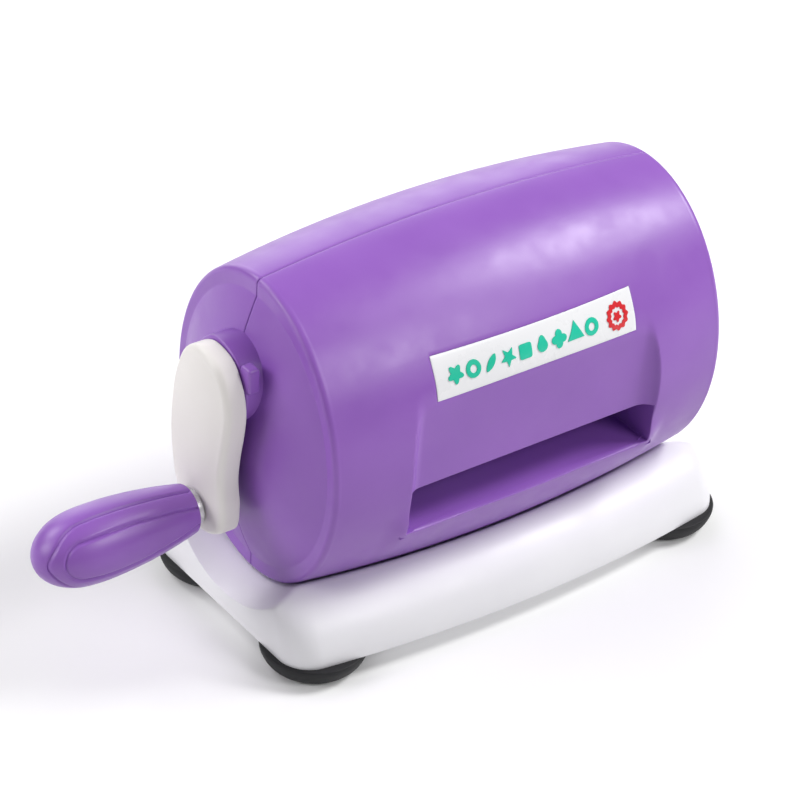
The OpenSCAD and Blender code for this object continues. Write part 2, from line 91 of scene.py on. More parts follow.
def piece(name, *patches):
    """One welded mesh from patches, each a pair of (points in millimetres, faces)."""
    points, faces, first = [], [], 0
    for p, f in patches:
        p = np.asarray(p, float).reshape(-1, 3)
        points.append(p)
        faces += [tuple(int(k) + first for k in face) for face in f]
        first += len(p)
    mesh = bpy.data.meshes.new(name)
    mesh.from_pydata((np.concatenate(points) * MM).tolist(), [], faces)
    weld = bmesh.new()
    weld.from_mesh(mesh)
    bmesh.ops.remove_doubles(weld, verts=weld.verts, dist=1e-6)
    weld.to_mesh(mesh)
    weld.free()
    made = bpy.data.objects.new(name, mesh)
    bpy.context.scene.collection.objects.link(made)
    return made


def modifier(made, kind, **settings):
    step = made.modifiers.new(kind.lower(), kind)
    for key, value in settings.items():
        setattr(step, key, value)
    return step


def finished(made, sharp=34):
    """Applies the modifiers, shades the mesh smooth and keeps edges sharper than this angle."""
    shape = bpy.data.meshes.new_from_object(made.evaluated_get(bpy.context.evaluated_depsgraph_get()))
    made.modifiers.clear()
    made.data = shape
    shape.shade_smooth()
    shape.set_sharp_from_angle(angle=np.radians(sharp))
    low, high = np.array(made.bound_box).min(0) / MM, np.array(made.bound_box).max(0) / MM
    print(f"{made.name}: {len(shape.polygons)} faces, {np.round(low, 1)} to {np.round(high, 1)} mm")
    return made


def stops(*marks):
    """Rising numbers through (value, spacing) marks; each spacing holds up to the next mark."""
    runs = [np.linspace(a, b, max(2, int(round((b - a) / step)) + 1))[:-1]
            for (a, step), (b, _) in zip(marks[:-1], marks[1:])]
    return np.concatenate(runs + [[marks[-1][0]]])


def smooth_step(t):
    t = np.clip(t, 0, 1)
    return t * t * (3 - 2 * t)


def smooth_max(a, b, k):
    """The larger of two numbers, with the corner between them rounded over a width k."""
    h = np.maximum(k - np.abs(a - b), 0) / k
    return np.maximum(a, b) + h * h * k / 4


def smooth_min(a, b, k):
    return -smooth_max(-a, -b, k)


# %% [markdown]
# ## The barrel
# The body is a barrel with an oval section that swells towards its middle, a rounded crease at each end,
# a flat rim and a shallow dome. It could be spun and scaled, but then the feed slot would have to be cut
# out of it. Here each shell is one sheet of points instead: columns run along the barrel, and rows run
# round it at angles chosen so that one row lies exactly on each level edge, such as the slot's sill.

# %% The barrel's measures
shell_low, shell_high = corners("front_shell")
end_x = shell_high[0]                              # tip of the dome
axis_z = (shell_low[2] + shell_high[2]) / 2        # height of the barrel's axis
mid_h = (shell_high[2] - shell_low[2]) / 2         # half height in the middle
crease_x = end_x - 13.6
rim_x = crease_x + 1.9
crease_h, crease_d = mid_h - 5.9, 51.0             # half height and half depth at the crease
mid_d = 56.9
dome_h, dome_d = 55.3, 46.0                        # where the dome starts on the flat rim
slot_w, slot_low = 56.0, axis_z - 28.35            # half width of the slot, and its floor
slot_high = slot_low + 16.75
label_low, label_high = corners("label_plate")
pocket = 0.3                                       # gap between the label and its pocket
seam_gap = 0.11
print("axis at", round(axis_z, 2), "mm, crease at", round(crease_x, 2), "mm")


def barrel_at(x):
    """Half height and half depth of the barrel at x: both fall away as the square of x / crease."""
    k = 1 - (np.minimum(np.abs(x), crease_x + 2) / crease_x) ** 2
    return crease_h + (mid_h - crease_h) * k, crease_d + (mid_d - crease_d) * k


def depth_for(height):
    """Half depth of the end's oval sections that goes with a half height."""
    return np.interp(height, [0, dome_h, crease_h], [0, dome_d, crease_d])


# %% The line that makes the barrel's length
def end_profile():
    """From the dome's tip to the barrel: a parabola, the flat rim, and a quadratic curve for the crease."""
    share = 1 - (1 - np.linspace(0, 1, 30)) ** 1.4
    dome = np.stack([rim_x + 0.1 + (end_x - rim_x) * (1 - share ** 2), dome_h * share], -1)
    rim = np.stack([np.full(6, rim_x), np.linspace(dome_h + 0.25, crease_h - 2.5, 6)], -1)
    start, corner, stop = [rim_x, crease_h - 2.5], [rim_x, crease_h - 0.2], [crease_x - 0.6, crease_h + 0.1]
    t = np.linspace(0, 1, 10)[1:, None]
    crease = (1 - t) ** 2 * start + 2 * t * (1 - t) * np.array(corner) + t * t * np.array(stop)
    return np.concatenate([dome, rim, crease])


label_edge = label_high[0] + pocket
half_line = stops((0, 1.7), (label_edge - 0.6, 0.12), (label_edge, 0.9), (49, 0.6), (slot_w, 0.5),
                  (61, 1.6), (crease_x - 2.2, 0.8), (crease_x - 0.7, 1))
ends = end_profile()
column_x = np.concatenate([-ends[:, 0], -half_line[::-1], half_line[1:], ends[::-1, 0]])
side_h, side_d = barrel_at(half_line)
column_h = np.concatenate([ends[:, 1], side_h[::-1], side_h[1:], ends[::-1, 1]])
end_depths = depth_for(ends[:, 1])
end_depths[-6:] += (side_d[-1] - end_depths[-1]) * np.linspace(0, 1, 6)
column_d = np.concatenate([end_depths, side_d[::-1], side_d[1:], end_depths[::-1]])
print("columns along the barrel:", len(column_x))


# %% Rows at the heights that matter
def row_angles(levels):
    """Angle from the top for each row and column. Rows between two level edges share their arc evenly."""
    height_here = barrel_at(np.minimum(np.abs(column_x), slot_w))[0]
    at = [np.zeros_like(column_x)]
    at += [np.arccos((z - axis_z) / height_here) for z, _ in levels[1:-1]]
    at += [np.full_like(column_x, np.pi)]
    rows = []
    for (a, b, (_, count)) in zip(at[:-1], at[1:], levels[:-1]):
        rows.append(a + (b - a) * np.linspace(0, 1, count + 1)[:-1, None])
    return np.concatenate(rows + [at[-1][None]])


top_edge, low_edge = label_high[2] + pocket, label_low[2] - pocket
levels = [(None, 40), (top_edge, 5), (top_edge - 0.6, 10), (low_edge + 0.6, 5), (low_edge, 24),
          (slot_high + 1.6, 3), (slot_high, 14), (slot_low, 3), (slot_low - 1.6, 46), (None, 0)]
angles = row_angles(levels)
slot_top_row = sum(n for _, n in levels[:6])
slot_low_row = slot_top_row + levels[6][1]
print("rows round the shell:", len(angles))

# %% [markdown]
# The front has three features moulded into it: a flat panel above the slot, whose sides curl up to the
# barrel in a small hollow, a straight sill under the slot, and a shallow pocket for the label. Each is a
# formula that says how far the surface moves in or out, so edges stay soft where one runs into another.


# %% Panel, sill and pocket
def front_y(x, z, base_y, label=True):
    """Depth of the front surface. The panel is a leaning plane with a quarter oval at each side."""
    s = np.clip((np.abs(x) - 49.6) / 7.8, 0, 1)
    hollow = 9 * (1 - np.sqrt(1 - s * s))
    panel = -(49.3 + 0.05 * (z - slot_high)) - hollow
    soften = 0.45 + 2.2 * smooth_step((z - low_edge + 9) / 14)
    on = (np.abs(x) < 60) & (z > slot_low - 0.01)
    y = np.where(on, smooth_max(base_y, panel, soften), base_y)
    sill = -51.3
    edge_y = -barrel_at(np.minimum(np.abs(x), slot_w))[1] * np.sqrt(
        1 - ((slot_low - axis_z) / barrel_at(np.minimum(np.abs(x), slot_w))[0]) ** 2)
    proud = np.maximum(edge_y - sill, 0)
    below = (1 - smooth_step((slot_low - z) / 21)) * (1 - smooth_step((z - slot_low) / 13))
    y = y - proud * below * (1 - smooth_step((np.abs(x) - slot_w) / 9)) * (z < axis_z)
    if label:
        inside = smooth_step((label_edge - np.abs(x)) / 0.6)
        inside = inside * smooth_step((z - low_edge) / 0.6) * smooth_step((top_edge - z) / 0.6)
        y = y + 0.35 * inside
    return y


def shell_points(label):
    """The whole half shell, modelled as the front: rows from the top seam to the bottom seam."""
    z = axis_z + column_h * np.cos(angles)
    y = -(seam_gap + np.maximum(column_d - seam_gap, 0) * np.sin(angles))
    x = np.broadcast_to(column_x, z.shape)
    return np.stack([x, front_y(x, z, y, label), z], -1)


def shell_patches(label):
    """The shell with the slot left open, and the slot's four walls run in to the rollers."""
    points = shell_points(label)
    rows, cols = points.shape[:2]
    faces = sheet_faces(rows, cols)
    i, j = np.divmod(faces[:, 0], cols)
    left = int(np.argmin(np.abs(column_x + slot_w)))
    right = int(np.argmin(np.abs(column_x - slot_w)))
    hole = (i >= slot_top_row) & (i < slot_low_row) & (j >= left) & (j < right)
    loop = np.concatenate([points[slot_top_row, left:right], points[slot_top_row:slot_low_row, right],
                           points[slot_low_row, right:left:-1], points[slot_low_row:slot_top_row:-1, left]])
    t = np.array([0, 0.02, 0.06, 0.2, 0.4, 0.6, 0.8, 1])[:, None, None]
    walls = np.repeat(loop[None], len(t), 0)
    walls[..., 1] = (loop[None, :, 1:2] * (1 - t) + -14.0 * t)[..., 0]
    return (points, faces[~hole]), (walls, sheet_faces(len(t), loop.shape[0], loop_cols=True))


# %% Two shells
SHELL_WALL, LIP = 2.3, 0.38


def body_shell(name, label, back):
    patches = shell_patches(label)
    if back:
        patches = [(p * [1, -1, 1], f[:, ::-1]) for p, f in patches]
    made = piece(name, *patches)
    modifier(made, "SOLIDIFY", thickness=SHELL_WALL * MM, offset=-1, use_even_offset=True)
    modifier(made, "BEVEL", width=LIP * MM, segments=3, limit_method="ANGLE", angle_limit=np.radians(42),
             use_clamp_overlap=False)
    return finished(made)


front = body_shell("front_shell_skin", True, False)
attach(front, "body")
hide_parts("front_shell")

# %% [markdown]
# The rear shell has four deep screw wells. A well is a hole through the wall with a cup behind it, where
# the screw's head sits. The holes are cut with a Boolean, because they cross the rows at any angle, and
# each cup is a tube whose open end follows the inside of the wall.

# %% Screw wells
well_at = [(-50.0, axis_z + 45.8), (50.0, axis_z + 45.8), (-80.2, 40.0), (80.2, 108.0)]
WELL_R, CUP_R, SEAT_Y = 3.4, 4.9, 10.0


def ring(x, z, r, y, count=40):
    a = np.linspace(0, 2 * np.pi, count, endpoint=False)
    px, pz = x + r * np.cos(a), z + r * np.sin(a)
    return np.stack([px, np.broadcast_to(y(px, pz) if callable(y) else y, px.shape), pz], -1)


def wall_y(px, pz):
    """Depth of the middle of the rear wall over a point."""
    h, d = barrel_at(px)
    return d * np.sqrt(1 - ((pz - axis_z) / h) ** 2) - 1.1


def well_cup(x, z):
    """A closed ring section carried round the well: hole, seat, well wall, lip, outside and foot."""
    rings = [ring(x, z, r, y) for r, y in [
        (1.6, 0.5), (1.6, SEAT_Y), (WELL_R, SEAT_Y), (WELL_R, wall_y), (CUP_R, wall_y), (CUP_R, 0.5)]]
    return np.stack(rings), sheet_faces(6, 40, loop_rows=True, loop_cols=True)


def plug(x, z):
    rings = np.stack([ring(x, z, WELL_R, y) for y in (SEAT_Y + 1, 90.0)])
    caps = [tuple(range(40)), tuple(range(79, 39, -1))]
    return rings, [tuple(f) for f in sheet_faces(2, 40, loop_cols=True)] + caps


def outward(made):
    """Turns every face of a closed mesh outwards."""
    work = bmesh.new()
    work.from_mesh(made.data)
    bmesh.ops.recalc_face_normals(work, faces=work.faces)
    work.to_mesh(made.data)
    work.free()
    return made


rear = body_shell("rear_shell_skin", False, True)
cutter = outward(piece("well_cutter", *[plug(x, z) for x, z in well_at]))
modifier(rear, "BOOLEAN", operation="DIFFERENCE", solver="MANIFOLD", object=cutter)
rear = finished(rear)
cups = outward(piece("cups", *[well_cup(x, z) for x, z in well_at]))
finished(cups)
joined = bmesh.new()
joined.from_mesh(rear.data)
joined.from_mesh(cups.data)
joined.to_mesh(rear.data)
joined.free()
for scrap in (cutter, cups):
    bpy.data.objects.remove(scrap)
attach(rear, "body")
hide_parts("rear_shell")

# %% [markdown]
# ## The label
# The real label is a thin plate that lies in the pocket. It follows the barrel, so it uses the same
# surface as the shell, a little further out. Its print is a row of plain shapes, the kind of thing that
# the machine cuts, each a raised film of ink on the plate. Every shape is a radius that changes with angle.

# %% Label plate
LABEL_PROUD = 0.16


def on_label(x, z, proud):
    h, d = barrel_at(x)
    base = -d * np.sqrt(1 - ((z - axis_z) / h) ** 2)
    return np.stack([x, front_y(x, z, base, False) - proud, z], -1)


lx, lz = np.meshgrid(np.linspace(label_low[0], label_high[0], 90),
                     np.linspace(label_high[2], label_low[2], 18))
label = piece("label_film", (on_label(lx, lz, LABEL_PROUD), sheet_faces(18, 90)))
modifier(label, "SOLIDIFY", thickness=0.45 * MM, offset=-1)
modifier(label, "BEVEL", width=0.14 * MM, segments=2, limit_method="ANGLE", angle_limit=np.radians(50))
finished(label)
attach(label, "body")
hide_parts("label_plate")

# %% Printed shapes
turn = np.linspace(0, 2 * np.pi, 72, endpoint=False)


def wave(t, n, bottom):
    """Straight-sided star: distance along rays between outer points at 1 and inner points at bottom."""
    a = np.abs((t * n / (2 * np.pi)) % 1 - 0.5) * 2
    step = np.pi / n
    inner, outer = bottom * np.exp(1j * step), 1.0
    ray = np.exp(1j * step * (1 - a))
    side = inner - outer
    return np.imag(np.conj(side) * outer) / np.imag(np.conj(side) * ray)


shapes = {
    "disc": 0.94 + 0 * turn,
    "star": wave(turn + np.pi / 10, 5, 0.45) * 1.1,
    "flower": 0.82 + 0.2 * np.cos(5 * turn + np.pi / 2),
    "square": 0.82 / (np.abs(np.cos(turn)) ** 7 + np.abs(np.sin(turn)) ** 7) ** (1 / 7),
    "leaf": 1.05 / (1 + 1.5 * np.abs(np.sin(turn - 0.9)) ** 1.3),
    "triangle": 0.66 / np.maximum.reduce([np.cos(turn - np.radians(a)) for a in (30, 150, 270)]),
    "drop": 0.68 + 0.4 * np.maximum(np.sin(turn), 0) ** 7 - 0.06 * np.sin(turn),
    "diamond": 0.98 / (np.abs(np.cos(turn)) * 1.25 + np.abs(np.sin(turn))),
    "clover": 0.62 + 0.4 * np.abs(np.cos(2 * turn)),
    "rosette": 0.92 + 0.07 * np.cos(12 * turn),
}
label_z = (label_low[2] + label_high[2]) / 2
teal_row = ["flower", "disc", "leaf", "star", "square", "drop", "clover", "triangle", "disc"]


def print_patch(shape, x, size, lift=0.0, hole=0.0):
    """A disc of points: rings from the middle (or from a hole) to the shape's edge, laid on the label."""
    share = np.linspace(hole, 1, 7)[:, None]
    px = x + size * share * shapes[shape] * np.cos(turn)
    pz = label_z + size * share * shapes[shape] * np.sin(turn)
    return on_label(px, pz, LABEL_PROUD + 0.09 + lift), sheet_faces(7, 72, loop_cols=True)[:, ::-1]


def ink(name, patches):
    made = piece(name, *patches)
    modifier(made, "SOLIDIFY", thickness=0.14 * MM, offset=-1)
    finished(made)
    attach(made, "body")
    return made


teal_print = ink("label_shapes", [print_patch(s, -36.6 + 7.6 * i, 3.35, hole=0.45 if s == "disc" else 0.0)
                                  for i, s in enumerate(teal_row)])
red_print = ink("label_rosette", [print_patch("rosette", 36.6, 5.3, hole=0.62),
                                  print_patch("flower", 36.5, 2.0)])

# %% [markdown]
# ## The base
# The base is one white moulding. Its plan has straight ends, round corners and a bowed front and back. The
# skirt climbs in a soft curve to a lip against the barrel, and at each end the cradle opens into a bell
# mouth under the dome. It is one sheet of points: rings that shrink from the bottom edge towards the
# middle, with the lower of two heights, the skirt's and the cradle's, blended where they meet.

# %% The base's plan and section
base_low, base_high = corners("base")
half_l = base_high[0]
CORNER_R, BOW = 13.0, 7.1
end_d = base_high[1] - BOW                         # half depth at the corners
RISE_X, RISE_Y = 4.0, 21.5                         # how far the ends and the sides draw in
ridge_z = base_high[2] + 0.4
cradle_gap = 0.7


def plan(inset_x, inset_y):
    """The plan's outline, drawn in: a corner arc, then a parabola for half of the bowed side, mirrored
    round."""
    a, b = half_l - inset_x, end_d - inset_y
    lean = np.arctan(2 * BOW / (a - CORNER_R))
    bow_x = a - CORNER_R + CORNER_R * np.sin(lean)
    end = np.linspace(0, 1, 24)[:-1]
    edge_y = b - CORNER_R * np.cos(lean)
    t = np.linspace(0, np.pi / 2 - lean, 22)
    arc = [a - CORNER_R + CORNER_R * np.cos(t), edge_y + CORNER_R * np.sin(t)]
    x = bow_x * (1 - np.linspace(0, 1, 60)[1:])
    quarter = np.concatenate([np.stack([np.full(23, a), edge_y * end], -1), np.stack(arc, -1),
                              np.stack([x, b + BOW * (1 - (x / bow_x) ** 2)], -1)])
    half = np.concatenate([quarter, quarter[-2::-1] * [-1, 1]])
    return np.concatenate([half, half[-2:0:-1] * [1, -1]])


def cradle_height(x, y):
    """Height of the cradle: the barrel grown by a gap, opening in a bell past the creases."""
    out = np.maximum(np.abs(x) - crease_x + 4, 0) / (half_l - crease_x + 4)
    h, d = barrel_at(x)
    h, d = h + cradle_gap + 5.6 * out ** 1.6, d + cradle_gap + 6.0 * out ** 1.6
    return axis_z - h * np.sqrt(np.clip(1 - (y / d) ** 2, 0, 1))


def base_sheet():
    s = np.sin(np.linspace(0, np.pi / 2, 34))
    skirt = [(RISE_X * (1 - (1 - v ** 2.3) ** (1 / 2.3)), RISE_Y * (1 - np.sqrt(1 - v * v)),
              base_low[2] + (ridge_z - base_low[2]) * v) for v in s]
    rings = [np.concatenate([plan(dx, dy), np.full((len(plan(0, 0)), 1), z)], 1) for dx, dy, z in skirt]
    top = rings[-1]
    share = np.concatenate([np.linspace(0, 0.32, 26)[1:], np.linspace(0.32, 1, 22)[1:]])
    rings += [np.stack([top[:, 0] * (1 - t * 0.97), top[:, 1] * (1 - t), top[:, 2]], -1) for t in share]
    points = np.stack(rings)
    points[..., 2] = smooth_min(points[..., 2], cradle_height(points[..., 0], points[..., 1]), 1.8)
    points[0, :, 2] = base_low[2]
    return points


points = base_sheet()
base = piece("base_moulding", (points, sheet_faces(*points.shape[:2], loop_cols=True)[:, ::-1]))
modifier(base, "SOLIDIFY", thickness=2.4 * MM, offset=-1, use_even_offset=False)
modifier(base, "BEVEL", width=0.4 * MM, segments=2, limit_method="ANGLE", angle_limit=np.radians(55),
         use_clamp_overlap=True)
finished(base)
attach(base, "body")
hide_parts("base")

# %% [markdown]
# ## Round pieces
# Feet, collar and grip are turned shapes. A lathe takes a line of (radius, place along the axis) and
# carries it round the axis. A closed line gives a closed ring, so each piece has a real inside.


# %% Lathe
def lathe(line, origin, axis, count=96, closed=True):
    """Turns a line about X or Z through a point. The line's first point follows its last when closed."""
    line = np.asarray(line, float)
    a = np.linspace(0, 2 * np.pi, count, endpoint=False)
    r, along = line[:, :1], np.broadcast_to(line[:, 1:2], (len(line), count))
    c, s = r * np.cos(a), r * np.sin(a)
    points = np.stack([along, c, s] if axis == "x" else [c, s, along], -1) + origin
    return points, sheet_faces(len(line), count, loop_rows=closed, loop_cols=True)


def round_corner(before, corner, after, radius, count=6):
    """A quadratic curve that cuts a corner of a line at a distance from it."""
    before, corner, after = (np.array(p, float) for p in (before, corner, after))
    a = corner + (before - corner) / np.linalg.norm(before - corner) * radius
    b = corner + (after - corner) / np.linalg.norm(after - corner) * radius
    t = np.linspace(0, 1, count)[:, None]
    return (1 - t) ** 2 * a + 2 * t * (1 - t) * corner + t * t * b


def rounded(line, radii):
    """A closed line with each corner rounded by its own radius."""
    n = len(line)
    return np.concatenate([round_corner(line[i - 1], line[i], line[(i + 1) % n], r) if r
                           else np.array([line[i]], float) for i, r in enumerate(radii)])


# %% Feet
for where in ("front_left", "front_right", "rear_left", "rear_right"):
    low, high = corners("foot_" + where)
    centre = [(low[0] + high[0]) / 2, (low[1] + high[1]) / 2, 0]
    r, h = (high[0] - low[0]) / 2, high[2]
    section = rounded([(2.2, 4), (5.2, 4), (5.2, 0.4), (7, 0), (r - 4.4, 0), (r - 1.5, 3), (r, h - 1.8),
                       (r, h), (2.2, h)], [0, 0.3, 0.3, 0.4, 2, 2, 1.2, 0.7, 0])
    foot = outward(piece("foot_pad_" + where, lathe(section, centre, "z")))
    finished(foot, 40)
    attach(foot, "body")
    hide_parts("foot_" + where)

# %% Axle collar and its lug
collar_low, collar_high = corners("axle_collar")
COLLAR_R = 16.3
crank_z = collar_high[2] - COLLAR_R
tip, inner = collar_low[0], -84.0
section = rounded([(COLLAR_R, inner), (COLLAR_R, tip), (COLLAR_R - 3.2, tip), (COLLAR_R - 3.4, tip + 6),
                   (10.3, tip + 6), (10.3, inner)], [0, 1.2, 0.7, 0.4, 0.4, 0])


def block(low, high, power=5, rows=25, cols=48):
    """A rounded block: a ball whose sines and cosines are raised to 2 / power, stretched to its box."""
    low, high = np.array(low, float), np.array(high, float)
    v, u = np.meshgrid(np.linspace(-np.pi / 2, np.pi / 2, rows),
                       np.linspace(-np.pi, np.pi, cols, endpoint=False),
                       indexing="ij")

    def soft(t):
        return np.sign(t) * np.abs(t) ** (2 / power)
    ball = np.stack([soft(np.cos(v)) * soft(np.cos(u)), soft(np.cos(v)) * soft(np.sin(u)), soft(np.sin(v))], -1)
    return (low + high) / 2 + ball * (high - low) / 2, sheet_faces(rows, cols, loop_cols=True)


lug = block((tip + 0.3, -COLLAR_R - 1.4, crank_z + 2.4), (tip + 5.2, -COLLAR_R + 4.8, crank_z + 12.6), 6)
collar = outward(piece("collar_ring", lathe(section, [0, 0, crank_z], "x"), lug))
finished(collar, 40)
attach(collar, "body")
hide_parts("axle_collar")

# %% [markdown]
# ## The crank arm
# The arm is a smooth, slightly waisted cover over a steel plate. Its outline is a closed curve through a
# few points. The section is carried round that outline: back rim, side, soft edge, and a crowned face
# that rises towards a spine. Each ring is the outline moved in along its own normals.

# %% Arm cover
arm_low, arm_high = corners("crank_cover")
arm_marks = np.array([
    (0, 15.4), (-9.5, 13), (-15.6, 5), (-17.9, -4), (-16.9, -14), (-14.9, -24), (-13.7, -34.5),
    (-14.9, -46), (-12.6, -56.5), (-1, -61.6), (10.6, -56), (16.4, -48), (19.1, -36), (19.9, -26),
    (19.3, -15), (17.2, -3), (12.6, 8.5), (6.8, 13.6)])


def closed_curve(marks, count):
    """Catmull-Rom curve: between two marks, a cubic of t whose slopes come from the marks around them."""
    t = np.linspace(0, 1, count, endpoint=False)[None, :, None]
    a, b, c, d = (np.roll(marks, k, 0)[:, None] for k in (1, 0, -1, -2))
    return (0.5 * (2 * b + (c - a) * t + (2 * a - 5 * b + 4 * c - d) * t ** 2
                   + (3 * b - a - 3 * c + d) * t ** 3)).reshape(-1, 2)


outline = closed_curve(arm_marks, 12)
along = np.roll(outline, -1, 0) - np.roll(outline, 1, 0)
along /= np.linalg.norm(along, axis=1, keepdims=True)
inwards = np.stack([along[:, 1], -along[:, 0]], -1)
if np.sum(inwards * (outline.mean(0) - outline)) < 0:
    inwards = -inwards
spine = np.stack([np.interp(outline[:, 1], [-50, 0], [2.0, 0.0]), np.clip(outline[:, 1], -47, 0)], -1)
EDGE, RIM, CROWN, ARM_WALL = 3.0, 2.5, 1.5, 2.4
back_x, face_x = arm_high[0], arm_low[0] + CROWN


def arm_ring(inset, x):
    flat = outline + inwards * inset
    return np.stack([np.full(len(flat), x), flat[:, 0], flat[:, 1] + crank_z], -1)


def arm_face(x_edge, x_middle, inset):
    """Rings from an inset outline to the spine, rising as a parabola."""
    edge_line = outline + inwards * inset
    share = np.linspace(0, 1, 22)[1:]
    return [np.stack([np.full(len(outline), x_edge + (x_middle - x_edge) * (1 - (1 - t) ** 2)),
                      *((edge_line * (1 - t) + spine * t) + [0, crank_z]).T], -1) for t in share]


quarter = np.linspace(0, np.pi / 2, 10)
rings = arm_face(back_x - 4.6, back_x - 4.6, RIM)[::-1]
rings += [arm_ring(RIM, back_x - 4.6), arm_ring(RIM, back_x - 0.3), arm_ring(RIM - 0.3, back_x),
          arm_ring(0.5, back_x), arm_ring(0.15, back_x - 0.15), arm_ring(0, back_x - 0.5)]
rings += [arm_ring(0, x) for x in np.linspace(back_x - 1, face_x + EDGE, 6)[:-1]]
rings += [arm_ring(EDGE * (1 - np.cos(q)), face_x + EDGE * (1 - np.sin(q))) for q in quarter]
rings += arm_face(face_x, arm_low[0], EDGE)
rings = np.stack(rings)
arm = outward(piece("arm_cover", (rings, sheet_faces(len(rings), rings.shape[1], loop_cols=True))))
finished(arm, 50)
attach(arm, "crank")
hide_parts("crank_cover")

# %% [markdown]
# ## The grip
# The grip swells from its root and closes in a blunt round end. Two opposite faces carry a pair of moulded
# grooves, one U inside another. The radius is a function of the distance from the root, and a groove is a
# small bell-shaped dip wherever a point lies close to the groove's line.

# %% Grip
grip_low, grip_high = corners("grip")
grip_l, grip_r = grip_high[0] - grip_low[0], (grip_high[2] - grip_low[2]) / 2
grip_z = (grip_high[2] + grip_low[2]) / 2
swell = 0.62 * grip_l
FACE_TILT, GROOVE_D, GROOVE_W = np.radians(12.8), 0.85, 0.55


def grip_radius(s):
    rise = 1 - 0.345 * np.clip(1 - s / swell, 0, 1) ** 1.9
    close = np.sqrt(np.clip(1 - np.clip((s - swell) / (grip_l - swell), 0, 1) ** 2.4, 0, 1))
    return grip_r * np.where(s < swell, rise, close)


def groove_depth(s, angle):
    """Depth of both grooves at a distance from the root and an angle from the face's middle. The outer
    one runs at a fixed angle and closes in half an oval round the end, the inner one in half a circle."""
    r = grip_radius(s)
    side = np.where(np.cos(angle) > 0, angle, np.pi - angle)
    side = np.abs(np.angle(np.exp(1j * side)))
    wide, turn_s, end_s = np.radians(63), 48.0, 61.2
    share_s, share_a = np.maximum(s - turn_s, 0) / (end_s - turn_s), side / wide
    reach = np.maximum(np.hypot(share_s, share_a), 1e-3)
    slope = np.gradient(grip_radius(s[:, 0]), s[:, 0])[:, None]
    steep = np.hypot(share_s / reach / (end_s - turn_s) / np.hypot(1, slope),
                     share_a / reach / wide / np.maximum(r, 1.0))
    outer = np.abs(reach - 1) / np.maximum(steep, 1e-3)
    across = r * np.sin(side)
    half = r * np.sin(np.radians(np.interp(s, [0, 10, 19, 28, 38, 49], [20, 28.5, 31, 34, 34, 32.7])))
    cap_s, cap_r = 49.0, 7.3
    inner = np.where(s < cap_s, np.abs(across - half), np.abs(np.hypot(s - cap_s, across) - cap_r))
    dip = np.exp(-(outer / GROOVE_W) ** 2)
    return GROOVE_D * np.maximum(dip, np.exp(-(inner / GROOVE_W) ** 2))


s_line = np.concatenate([np.linspace(1.2, 52, 118),
                         grip_l - (grip_l - 52) * (1 - np.linspace(0, 1, 46)[1:]) ** 1.9])
angle = np.linspace(0, 2 * np.pi, 216, endpoint=False)
s_all, a_all = np.meshgrid(s_line, angle, indexing="ij")
skin_r = grip_radius(s_all) - groove_depth(s_all, a_all)
skin_r[-1] = 0
root_r = grip_radius(np.array([0.0]))[0]
bead = round_corner((4.2, 0), (root_r, 0), (grip_radius(1.2), 1.2), 1.0)
start = np.concatenate([[(4.1, 6.0), (4.1, 0.4), (4.5, 0.0)], bead[:-1]])
r_grid = np.concatenate([np.repeat(start[:, :1], len(angle), 1), skin_r])
s_grid = np.concatenate([np.repeat(start[:, 1:], len(angle), 1), s_all])
cap = np.zeros((1, len(angle)))
r_grid, s_grid = np.concatenate([cap, r_grid]), np.concatenate([cap + 6.0, s_grid])
around = a_all[:1] + FACE_TILT
grip_points = np.stack([grip_high[0] - s_grid, -r_grid * np.cos(around), grip_z + r_grid * np.sin(around)], -1)
grip = outward(piece("grip_skin", (grip_points, sheet_faces(len(grip_points), len(angle), loop_cols=True))))
finished(grip, 50)
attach(grip, "grip")
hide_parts("grip")

# %% [markdown]
# ## Finishes
# Every finish is built the same way: a base colour that drifts a little from place to place, a roughness
# that varies with it, and a fine bump at the real scale of the surface. Moulded plastic has a soft spark
# texture, rubber is duller and grainier, and turned steel has fine rings round its axis.


# %% Helpers for materials
def material(name, roughness, metallic=0.0, coat=0.0):
    made = bpy.data.materials.new(name)
    made.use_nodes = True
    tree = made.node_tree
    shader = tree.nodes["Principled BSDF"]
    shader.inputs["Roughness"].default_value = roughness
    shader.inputs["Metallic"].default_value = metallic
    shader.inputs["Coat Weight"].default_value = coat
    return made, tree, shader


def noise(tree, scale, detail=3.0, stretch=(1, 1, 1)):
    """Noise on object coordinates, stretched along each axis; the scale is in bumps per metre."""
    place = tree.nodes.new("ShaderNodeTexCoord")
    turn_it = tree.nodes.new("ShaderNodeMapping")
    turn_it.inputs["Scale"].default_value = stretch
    made = tree.nodes.new("ShaderNodeTexNoise")
    made.inputs["Scale"].default_value = scale
    made.inputs["Detail"].default_value = detail
    tree.links.new(place.outputs["Object"], turn_it.inputs["Vector"])
    tree.links.new(turn_it.outputs["Vector"], made.inputs["Vector"])
    return made.outputs["Fac"]


def ramp(tree, value, low, high, at=(0.3, 0.7)):
    made = tree.nodes.new("ShaderNodeValToRGB")
    made.color_ramp.elements[0].position, made.color_ramp.elements[1].position = at
    made.color_ramp.elements[0].color = (*low, 1)
    made.color_ramp.elements[1].color = (*high, 1)
    tree.links.new(value, made.inputs["Fac"])
    return made.outputs["Color"]


def spread(tree, value, low, high):
    made = tree.nodes.new("ShaderNodeMapRange")
    made.inputs["From Min"].default_value, made.inputs["From Max"].default_value = 0.3, 0.7
    made.inputs["To Min"].default_value, made.inputs["To Max"].default_value = low, high
    tree.links.new(value, made.inputs["Value"])
    return made.outputs["Result"]


